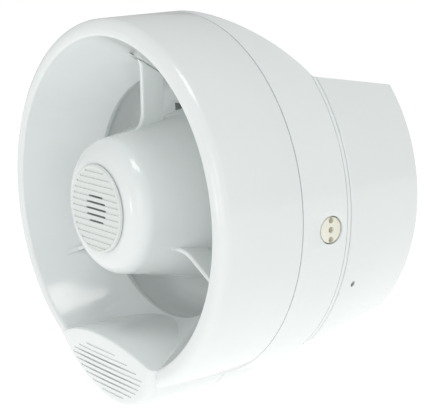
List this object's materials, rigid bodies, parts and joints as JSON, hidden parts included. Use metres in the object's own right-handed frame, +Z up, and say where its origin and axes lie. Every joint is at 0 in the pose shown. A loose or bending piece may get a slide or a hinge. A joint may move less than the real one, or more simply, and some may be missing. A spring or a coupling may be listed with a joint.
{
  "type": "alarm siren",
  "caption": "Wall alarm siren: a round re-entrant horn head with a slotted chin, held on a truncated wall base by lugs and a side cam lock.",
  "frame": {"origin": "centre of the flat back face of the wall base, on the axis of the horn", "axes": "+Y out of the back face into the wall, -Y out of the horn, +X to the side with the lock, +Z up"},
  "size_m": [0.1204, 0.088, 0.1254],
  "materials": {
    "shell_white": "glossy white moulded ABS",
    "trim_white": "satin white moulded plastic",
    "plug_cream": "slightly warm white plastic",
    "black_plastic": "matt black moulded plastic",
    "rubber": "soft black rubber",
    "zinc_plated": "bright zinc plated steel",
    "steel_plated": "dull nickel plated steel",
    "ferrite": "dark grey sintered ferrite",
    "film_amber": "amber polyimide film",
    "board_green": "green solder mask",
    "blue_plastic": "blue moulded plastic",
    "capacitor_blue": "dark blue shrink sleeve",
    "terminal_green": "green moulded plastic",
    "brass_contact": "plain brass strip",
    "lead_red": "red PVC insulation",
    "lead_black": "black PVC insulation"
  },
  "bodies": {
    "base": {"cable_grommet": "rubber", "contact_block": "black_plastic", "contact_spring_1": "brass_contact", "contact_spring_2": "brass_contact", "contact_spring_3": "brass_contact", "head_seal": "rubber", "terminal_block": "terminal_green", "terminal_screw_1": "zinc_plated", "terminal_screw_2": "zinc_plated", "terminal_screw_3": "zinc_plated", "wall_base": "shell_white"},
    "head": {"bell_screw_1": "zinc_plated", "bell_screw_2": "zinc_plated", "bell_screw_3": "zinc_plated", "bell_screw_4": "zinc_plated", "bullet_disc": "trim_white", "bullet_spider": "shell_white", "case_screw_1": "zinc_plated", "case_screw_2": "zinc_plated", "case_screw_3": "zinc_plated", "case_screw_4": "zinc_plated", "circuit_board": "board_green", "contact_blade_1": "brass_contact", "contact_blade_2": "brass_contact", "contact_blade_3": "brass_contact", "controller_chip": "black_plastic", "cover_screw_1": "zinc_plated", "cover_screw_2": "zinc_plated", "cover_screw_3": "zinc_plated", "drive_coil": "ferrite", "driver_front_plate": "black_plastic", "driver_housing": "shell_white", "driver_lead_black": "lead_black", "driver_lead_red": "lead_red", "driver_screw_1": "zinc_plated", "driver_screw_2": "zinc_plated", "driver_screw_3": "zinc_plated", "front_bell": "shell_white", "horn_reflector": "shell_white", "magnet_yoke": "steel_plated", "rear_case": "black_plastic", "rear_cover": "black_plastic", "reflector_gasket": "rubber", "reservoir_capacitor_1": "capacitor_blue", "reservoir_capacitor_2": "capacitor_blue", "ring_magnet": "ferrite", "tone_switch_body": "blue_plastic", "top_plate": "steel_plated", "volume_pot_body": "blue_plastic"},
    "volume_dial": {"volume_rotor": "trim_white"},
    "diaphragm": {"voice_diaphragm": "film_amber"},
    "lock_cam": {"lock_plug": "plug_cream", "lock_tongue": "zinc_plated", "lock_screw": "zinc_plated"},
    "slider_1": {"tone_slider_1": "trim_white"},
    "slider_2": {"tone_slider_2": "trim_white"},
    "slider_3": {"tone_slider_3": "trim_white"},
    "slider_4": {"tone_slider_4": "trim_white"}
  },
  "joints": [
    {"name": "head_twist", "type": "hinge", "parent": "base", "child": "head", "pos_m": [0, 0, 0], "axis": [0, 1, 0], "range_deg": [-20, 0]},
    {"name": "lock_turn", "type": "hinge", "parent": "head", "child": "lock_cam", "pos_m": [0.05, -0.0422, -0.0031], "axis": [1, 0, 0], "range_deg": [-90, 0]},
    {"name": "diaphragm_travel", "type": "slide", "parent": "head", "child": "diaphragm", "axis": [0, 1, 0], "range_m": [-0.0003, 0.0003], "stiffness_N_per_m": 2000},
    {"name": "volume_turn", "type": "hinge", "parent": "head", "child": "volume_dial", "pos_m": [0, -0.0135, -0.017], "axis": [0, 1, 0], "range_deg": [-135, 135]},
    {"name": "tone_switch_1", "type": "slide", "parent": "head", "child": "slider_1", "axis": [0, 0, 1], "range_m": [0, 0.0024]},
    {"name": "tone_switch_2", "type": "slide", "parent": "head", "child": "slider_2", "axis": [0, 0, 1], "range_m": [0, 0.0024]},
    {"name": "tone_switch_3", "type": "slide", "parent": "head", "child": "slider_3", "axis": [0, 0, 1], "range_m": [0, 0.0024]},
    {"name": "tone_switch_4", "type": "slide", "parent": "head", "child": "slider_4", "axis": [0, 0, 1], "range_m": [0, 0.0024]}
  ]
}
